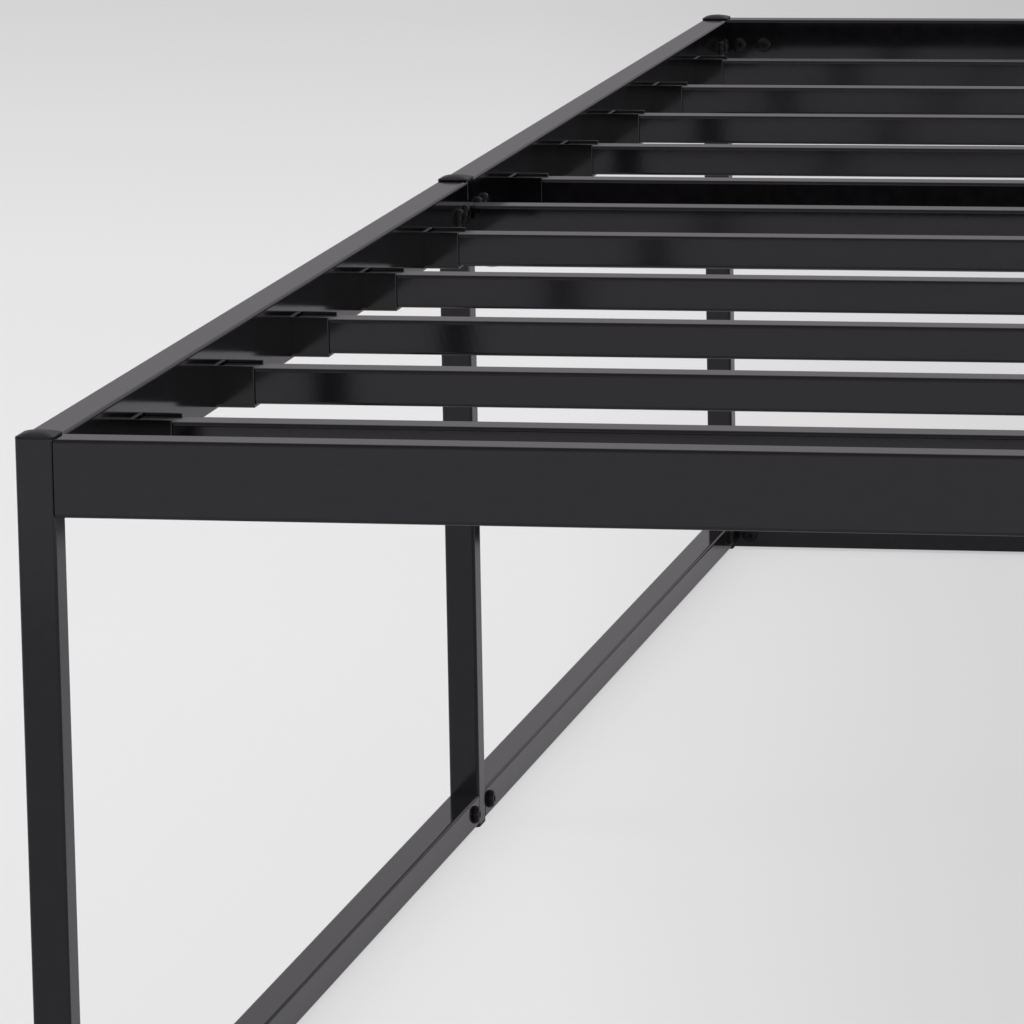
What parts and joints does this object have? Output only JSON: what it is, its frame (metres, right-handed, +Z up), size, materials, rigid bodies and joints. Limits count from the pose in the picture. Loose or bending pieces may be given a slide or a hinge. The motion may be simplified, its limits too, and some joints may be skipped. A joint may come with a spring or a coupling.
{
  "type": "metal bed frame",
  "caption": "Black steel platform bed frame: square-tube legs and floor rails, deep outer rails, and cross slats held in plastic cradles inside the rails, bolted together.",
  "frame": {"origin": "on the floor, under the middle of the frame", "axes": "+X across the bed to the right seen from the foot, +Y along it towards the head, +Z up"},
  "size_m": [1.93, 2.032, 0.4352],
  "materials": {
    "black_powder_coat": "glossy black powder coat on steel tube, with a fine orange peel",
    "black_plastic": "satin black moulded plastic",
    "black_fasteners": "black oxide steel bolts and nuts"
  },
  "bodies": {
    "root": {"bolts": "black_fasteners", "center_beam_foot": "black_powder_coat", "center_beam_head": "black_powder_coat", "crossbar_brackets": "black_powder_coat", "crossbar_left": "black_powder_coat", "crossbar_right": "black_powder_coat", "floor_rail_brackets": "black_powder_coat", "floor_rail_foot_left": "black_powder_coat", "floor_rail_foot_right": "black_powder_coat", "floor_rail_head_left": "black_powder_coat", "floor_rail_head_right": "black_powder_coat", "floor_rail_left_foot": "black_powder_coat", "floor_rail_left_head": "black_powder_coat", "floor_rail_right_foot": "black_powder_coat", "floor_rail_right_head": "black_powder_coat", "foot_rail_left": "black_powder_coat", "foot_rail_right": "black_powder_coat", "head_rail_left": "black_powder_coat", "head_rail_right": "black_powder_coat", "leg_caps": "black_plastic", "leg_feet": "black_plastic", "leg_foot_center": "black_powder_coat", "leg_foot_left": "black_powder_coat", "leg_foot_right": "black_powder_coat", "leg_head_center": "black_powder_coat", "leg_head_left": "black_powder_coat", "leg_head_right": "black_powder_coat", "leg_middle_center": "black_powder_coat", "leg_middle_left": "black_powder_coat", "leg_middle_right": "black_powder_coat", "rail_brackets": "black_powder_coat", "side_rail_left_foot": "black_powder_coat", "side_rail_left_head": "black_powder_coat", "side_rail_right_foot": "black_powder_coat", "side_rail_right_head": "black_powder_coat", "slat_holders_beam_left": "black_plastic", "slat_holders_beam_right": "black_plastic", "slat_holders_rail_left": "black_plastic", "slat_holders_rail_right": "black_plastic", "slat_left_01": "black_powder_coat", "slat_left_02": "black_powder_coat", "slat_left_03": "black_powder_coat", "slat_left_04": "black_powder_coat", "slat_left_05": "black_powder_coat", "slat_left_06": "black_powder_coat", "slat_left_07": "black_powder_coat", "slat_left_08": "black_powder_coat", "slat_left_09": "black_powder_coat", "slat_left_10": "black_powder_coat", "slat_right_01": "black_powder_coat", "slat_right_02": "black_powder_coat", "slat_right_03": "black_powder_coat", "slat_right_04": "black_powder_coat", "slat_right_05": "black_powder_coat", "slat_right_06": "black_powder_coat", "slat_right_07": "black_powder_coat", "slat_right_08": "black_powder_coat", "slat_right_09": "black_powder_coat", "slat_right_10": "black_powder_coat", "weld_nuts": "black_fasteners"}
  },
  "joints": []
}
